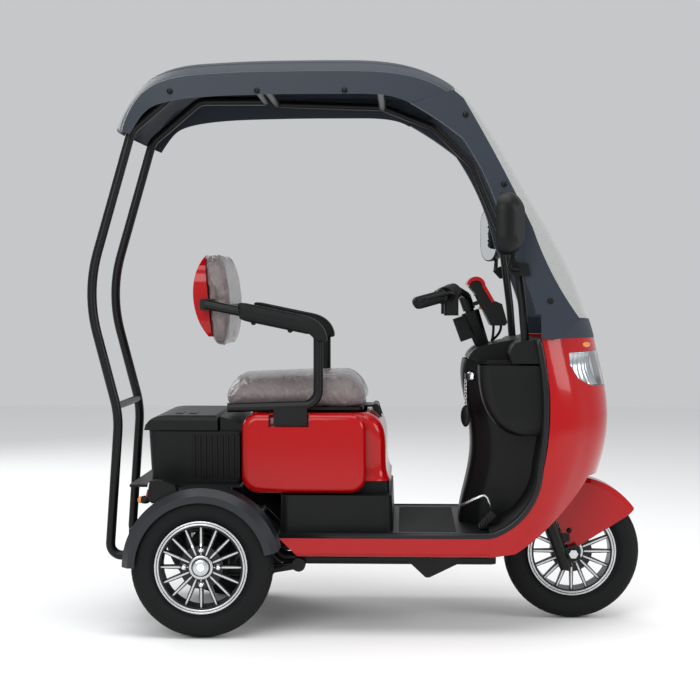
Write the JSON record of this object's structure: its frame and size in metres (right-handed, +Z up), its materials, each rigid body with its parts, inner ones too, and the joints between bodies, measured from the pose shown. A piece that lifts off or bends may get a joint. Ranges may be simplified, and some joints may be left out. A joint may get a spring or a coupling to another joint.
{
  "type": "roofed electric tricycle",
  "caption": "Single-seat electric tricycle with a grey roof and curved screen, red plastic bodywork, rear box and armrest seat",
  "frame": {"origin": "on the floor, midway along and across the vehicle", "axes": "+X forward, +Y to the rider's left, +Z up"},
  "size_m": [1.6521, 0.8962, 1.6923],
  "materials": {
    "red_plastic": "glossy moulded red panels",
    "grey_plastic": "satin dark blue-grey moulding",
    "black_plastic": "grained black moulding",
    "clear_glass": "clear curved sheet",
    "red_lens": "lamp lens",
    "black_steel": "black powder coat",
    "bright_steel": "bright steel",
    "alloy": "black cast alloy with machined faces",
    "tyre_rubber": "black tyre rubber",
    "soft_rubber": "soft black rubber",
    "leather": "taupe artificial leather"
  },
  "bodies": {
    "chassis": {"front_fairing": "red_plastic", "side_skirts": "red_plastic", "seat_housing": "red_plastic", "seat_side_panels": "red_plastic", "roof": "grey_plastic", "screen_surround": "grey_plastic", "leg_shield": "black_plastic", "floor_board": "black_plastic", "base_box": "black_plastic", "rear_deck": "black_plastic", "rear_box": "black_plastic", "rear_fenders": "black_plastic", "mirrors": "black_plastic", "battery_pack": "black_plastic", "glove_pockets": "black_plastic", "windscreen": "clear_glass", "headlamps": "clear_glass", "tail_lamps": "red_lens", "chassis_frame": "black_steel", "rear_posts": "black_steel", "front_roof_frame": "black_steel", "rear_axle": "black_steel", "trailing_arms": "black_steel", "shock_absorbers": "black_steel", "seat_hinge": "black_steel", "brake_linkage": "black_steel", "brake_pedal": "bright_steel", "drive_motor": "alloy"},
    "steering": {"front_fork": "black_steel", "front_axle": "bright_steel", "front_fender": "red_plastic", "handlebar": "black_steel", "grips": "soft_rubber", "brake_levers": "black_plastic", "headset_cowl": "red_plastic", "instrument_panel": "black_plastic", "column_gaiter": "soft_rubber", "column_cover": "black_plastic", "control_cables": "soft_rubber"},
    "front_wheel": {"front_rim": "alloy", "front_tyre": "tyre_rubber"},
    "rear_wheel_right": {"rear_rim_right": "alloy", "rear_tyre_right": "tyre_rubber"},
    "rear_wheel_left": {"rear_rim_left": "alloy", "rear_tyre_left": "tyre_rubber"},
    "seat": {"seat_frame": "black_steel", "seat_cushion": "leather", "backrest_shell": "red_plastic", "backrest_pad": "leather", "armrest_pads": "soft_rubber"},
    "box_lid": {"rear_box_lid": "black_plastic"}
  },
  "joints": [
    {"name": "steering", "type": "hinge", "parent": "chassis", "child": "steering", "pos_m": [0.349, 0, 0.829], "axis": [-0.342, 0, 0.9397], "range_deg": [-35, 35]},
    {"name": "front_wheel_spin", "type": "hinge", "parent": "steering", "child": "front_wheel", "pos_m": [0.62, 0, 0.206], "axis": [0, 1, 0], "continuous": true},
    {"name": "rear_wheel_right_spin", "type": "hinge", "parent": "chassis", "child": "rear_wheel_right", "pos_m": [-0.47, -0.325, 0.206], "axis": [0, 1, 0], "continuous": true},
    {"name": "rear_wheel_left_spin", "type": "hinge", "parent": "chassis", "child": "rear_wheel_left", "pos_m": [-0.47, 0.325, 0.206], "axis": [0, 1, 0], "continuous": true},
    {"name": "seat_tilt", "type": "hinge", "parent": "chassis", "child": "seat", "pos_m": [0.024, 0, 0.647], "axis": [0, 1, 0], "range_deg": [0, 25]},
    {"name": "rear_lid", "type": "hinge", "parent": "chassis", "child": "box_lid", "pos_m": [-0.664, 0, 0.59], "axis": [0, -1, 0], "range_deg": [0, 85]}
  ]
}
